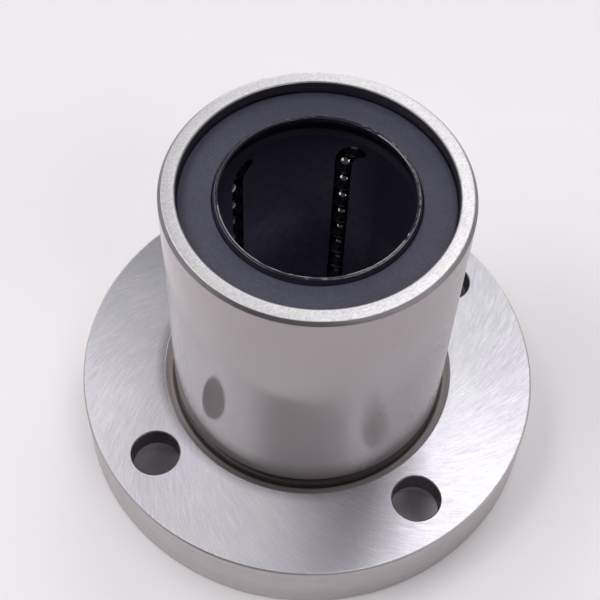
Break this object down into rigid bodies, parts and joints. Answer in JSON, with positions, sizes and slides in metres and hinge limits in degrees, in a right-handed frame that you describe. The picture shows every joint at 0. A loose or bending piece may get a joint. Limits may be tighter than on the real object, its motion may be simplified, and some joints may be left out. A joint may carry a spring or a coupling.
{
  "type": "linear ball bushing",
  "caption": "Flanged linear ball bushing: ground steel sleeve with a round bolted flange, lip seals and a retainer with closed circuits of balls.",
  "frame": {"origin": "centre of the flange's end face, on the shaft's axis", "axes": "+Z along the shaft's axis, from the flange towards the sleeve's free end; the bolt holes lie at 45 degrees to +X and +Y"},
  "size_m": [0.054, 0.054, 0.042],
  "materials": {
    "ground_sleeve_steel": "ground and polished bearing steel",
    "turned_flange_steel": "ground face with fine arc-shaped scratches",
    "retainer_plastic": "dark moulded plastic",
    "spring_steel": "plain spring steel",
    "seal_plate": "fine-textured slate grey",
    "lip_rubber": "smooth glossy black",
    "ball_steel": "polished bearing balls"
  },
  "bodies": {
    "housing": {"outer_sleeve": "ground_sleeve_steel", "mounting_flange": "turned_flange_steel", "ball_retainer": "retainer_plastic", "retaining_ring_top": "spring_steel", "retaining_ring_bottom": "spring_steel", "seal_plate_top": "seal_plate", "seal_plate_bottom": "seal_plate", "seal_lip_top": "lip_rubber", "seal_lip_bottom": "lip_rubber"},
    "loaded_row_1": {"loaded_balls_1": "ball_steel"},
    "return_row_1": {"return_balls_1": "ball_steel"},
    "upper_turn_1": {"upper_turn_balls_1": "ball_steel"},
    "lower_turn_1": {"lower_turn_balls_1": "ball_steel"},
    "loaded_row_2": {"loaded_balls_2": "ball_steel"},
    "return_row_2": {"return_balls_2": "ball_steel"},
    "upper_turn_2": {"upper_turn_balls_2": "ball_steel"},
    "lower_turn_2": {"lower_turn_balls_2": "ball_steel"},
    "loaded_row_3": {"loaded_balls_3": "ball_steel"},
    "return_row_3": {"return_balls_3": "ball_steel"},
    "upper_turn_3": {"upper_turn_balls_3": "ball_steel"},
    "lower_turn_3": {"lower_turn_balls_3": "ball_steel"},
    "loaded_row_4": {"loaded_balls_4": "ball_steel"},
    "return_row_4": {"return_balls_4": "ball_steel"},
    "upper_turn_4": {"upper_turn_balls_4": "ball_steel"},
    "lower_turn_4": {"lower_turn_balls_4": "ball_steel"},
    "loaded_row_5": {"loaded_balls_5": "ball_steel"},
    "return_row_5": {"return_balls_5": "ball_steel"},
    "upper_turn_5": {"upper_turn_balls_5": "ball_steel"},
    "lower_turn_5": {"lower_turn_balls_5": "ball_steel"}
  },
  "joints": [
    {"name": "loaded_slide_1", "type": "slide", "parent": "housing", "child": "loaded_row_1", "axis": [0, 0, 1], "range_m": [-0.0015, 0.0015]},
    {"name": "return_slide_1", "type": "slide", "parent": "housing", "child": "return_row_1", "axis": [0, 0, 1], "range_m": [-0.0015, 0.0015]},
    {"name": "upper_turn_1_hinge", "type": "hinge", "parent": "housing", "child": "upper_turn_1", "pos_m": [0.00389, 0.01114, 0.0343], "axis": [0.1106, 0.9939, 0], "range_deg": [-36, 36]},
    {"name": "lower_turn_1_hinge", "type": "hinge", "parent": "housing", "child": "lower_turn_1", "pos_m": [0.00389, 0.01114, 0.0077], "axis": [0.1106, 0.9939, 0], "range_deg": [-36, 36]},
    {"name": "loaded_slide_2", "type": "slide", "parent": "housing", "child": "loaded_row_2", "axis": [0, 0, 1], "range_m": [-0.0015, 0.0015]},
    {"name": "return_slide_2", "type": "slide", "parent": "housing", "child": "return_row_2", "axis": [0, 0, 1], "range_m": [-0.0015, 0.0015]},
    {"name": "upper_turn_2_hinge", "type": "hinge", "parent": "housing", "child": "upper_turn_2", "pos_m": [-0.00939, 0.00714, 0.0343], "axis": [-0.911, 0.4123, 0], "range_deg": [-36, 36]},
    {"name": "lower_turn_2_hinge", "type": "hinge", "parent": "housing", "child": "lower_turn_2", "pos_m": [-0.00939, 0.00714, 0.0077], "axis": [-0.911, 0.4123, 0], "range_deg": [-36, 36]},
    {"name": "loaded_slide_3", "type": "slide", "parent": "housing", "child": "loaded_row_3", "axis": [0, 0, 1], "range_m": [-0.0015, 0.0015]},
    {"name": "return_slide_3", "type": "slide", "parent": "housing", "child": "return_row_3", "axis": [0, 0, 1], "range_m": [-0.0015, 0.0015]},
    {"name": "upper_turn_3_hinge", "type": "hinge", "parent": "housing", "child": "upper_turn_3", "pos_m": [-0.00969, -0.00673, 0.0343], "axis": [-0.6737, -0.739, 0], "range_deg": [-36, 36]},
    {"name": "lower_turn_3_hinge", "type": "hinge", "parent": "housing", "child": "lower_turn_3", "pos_m": [-0.00969, -0.00673, 0.0077], "axis": [-0.6737, -0.739, 0], "range_deg": [-36, 36]},
    {"name": "loaded_slide_4", "type": "slide", "parent": "housing", "child": "loaded_row_4", "axis": [0, 0, 1], "range_m": [-0.0015, 0.0015]},
    {"name": "return_slide_4", "type": "slide", "parent": "housing", "child": "return_row_4", "axis": [0, 0, 1], "range_m": [-0.0015, 0.0015]},
    {"name": "upper_turn_4_hinge", "type": "hinge", "parent": "housing", "child": "upper_turn_4", "pos_m": [0.0034, -0.01129, 0.0343], "axis": [0.4947, -0.8691, 0], "range_deg": [-36, 36]},
    {"name": "lower_turn_4_hinge", "type": "hinge", "parent": "housing", "child": "lower_turn_4", "pos_m": [0.0034, -0.01129, 0.0077], "axis": [0.4947, -0.8691, 0], "range_deg": [-36, 36]},
    {"name": "loaded_slide_5", "type": "slide", "parent": "housing", "child": "loaded_row_5", "axis": [0, 0, 1], "range_m": [-0.0015, 0.0015]},
    {"name": "return_slide_5", "type": "slide", "parent": "housing", "child": "return_row_5", "axis": [0, 0, 1], "range_m": [-0.0015, 0.0015]},
    {"name": "upper_turn_5_hinge", "type": "hinge", "parent": "housing", "child": "upper_turn_5", "pos_m": [0.01179, -0.00025, 0.0343], "axis": [0.9794, 0.2019, 0], "range_deg": [-36, 36]},
    {"name": "lower_turn_5_hinge", "type": "hinge", "parent": "housing", "child": "lower_turn_5", "pos_m": [0.01179, -0.00025, 0.0077], "axis": [0.9794, 0.2019, 0], "range_deg": [-36, 36]}
  ],
  "couplings": [
    {"joint": "return_slide_1", "follows": "loaded_slide_1", "ratio": -1},
    {"joint": "upper_turn_1_hinge", "follows": "loaded_slide_1", "rad_per_m": 416.67},
    {"joint": "lower_turn_1_hinge", "follows": "loaded_slide_1", "rad_per_m": 416.67},
    {"joint": "return_slide_2", "follows": "loaded_slide_2", "ratio": -1},
    {"joint": "upper_turn_2_hinge", "follows": "loaded_slide_2", "rad_per_m": 416.67},
    {"joint": "lower_turn_2_hinge", "follows": "loaded_slide_2", "rad_per_m": 416.67},
    {"joint": "return_slide_3", "follows": "loaded_slide_3", "ratio": -1},
    {"joint": "upper_turn_3_hinge", "follows": "loaded_slide_3", "rad_per_m": 416.67},
    {"joint": "lower_turn_3_hinge", "follows": "loaded_slide_3", "rad_per_m": 416.67},
    {"joint": "return_slide_4", "follows": "loaded_slide_4", "ratio": -1},
    {"joint": "upper_turn_4_hinge", "follows": "loaded_slide_4", "rad_per_m": 416.67},
    {"joint": "lower_turn_4_hinge", "follows": "loaded_slide_4", "rad_per_m": 416.67},
    {"joint": "return_slide_5", "follows": "loaded_slide_5", "ratio": -1},
    {"joint": "upper_turn_5_hinge", "follows": "loaded_slide_5", "rad_per_m": 416.67},
    {"joint": "lower_turn_5_hinge", "follows": "loaded_slide_5", "rad_per_m": 416.67}
  ]
}
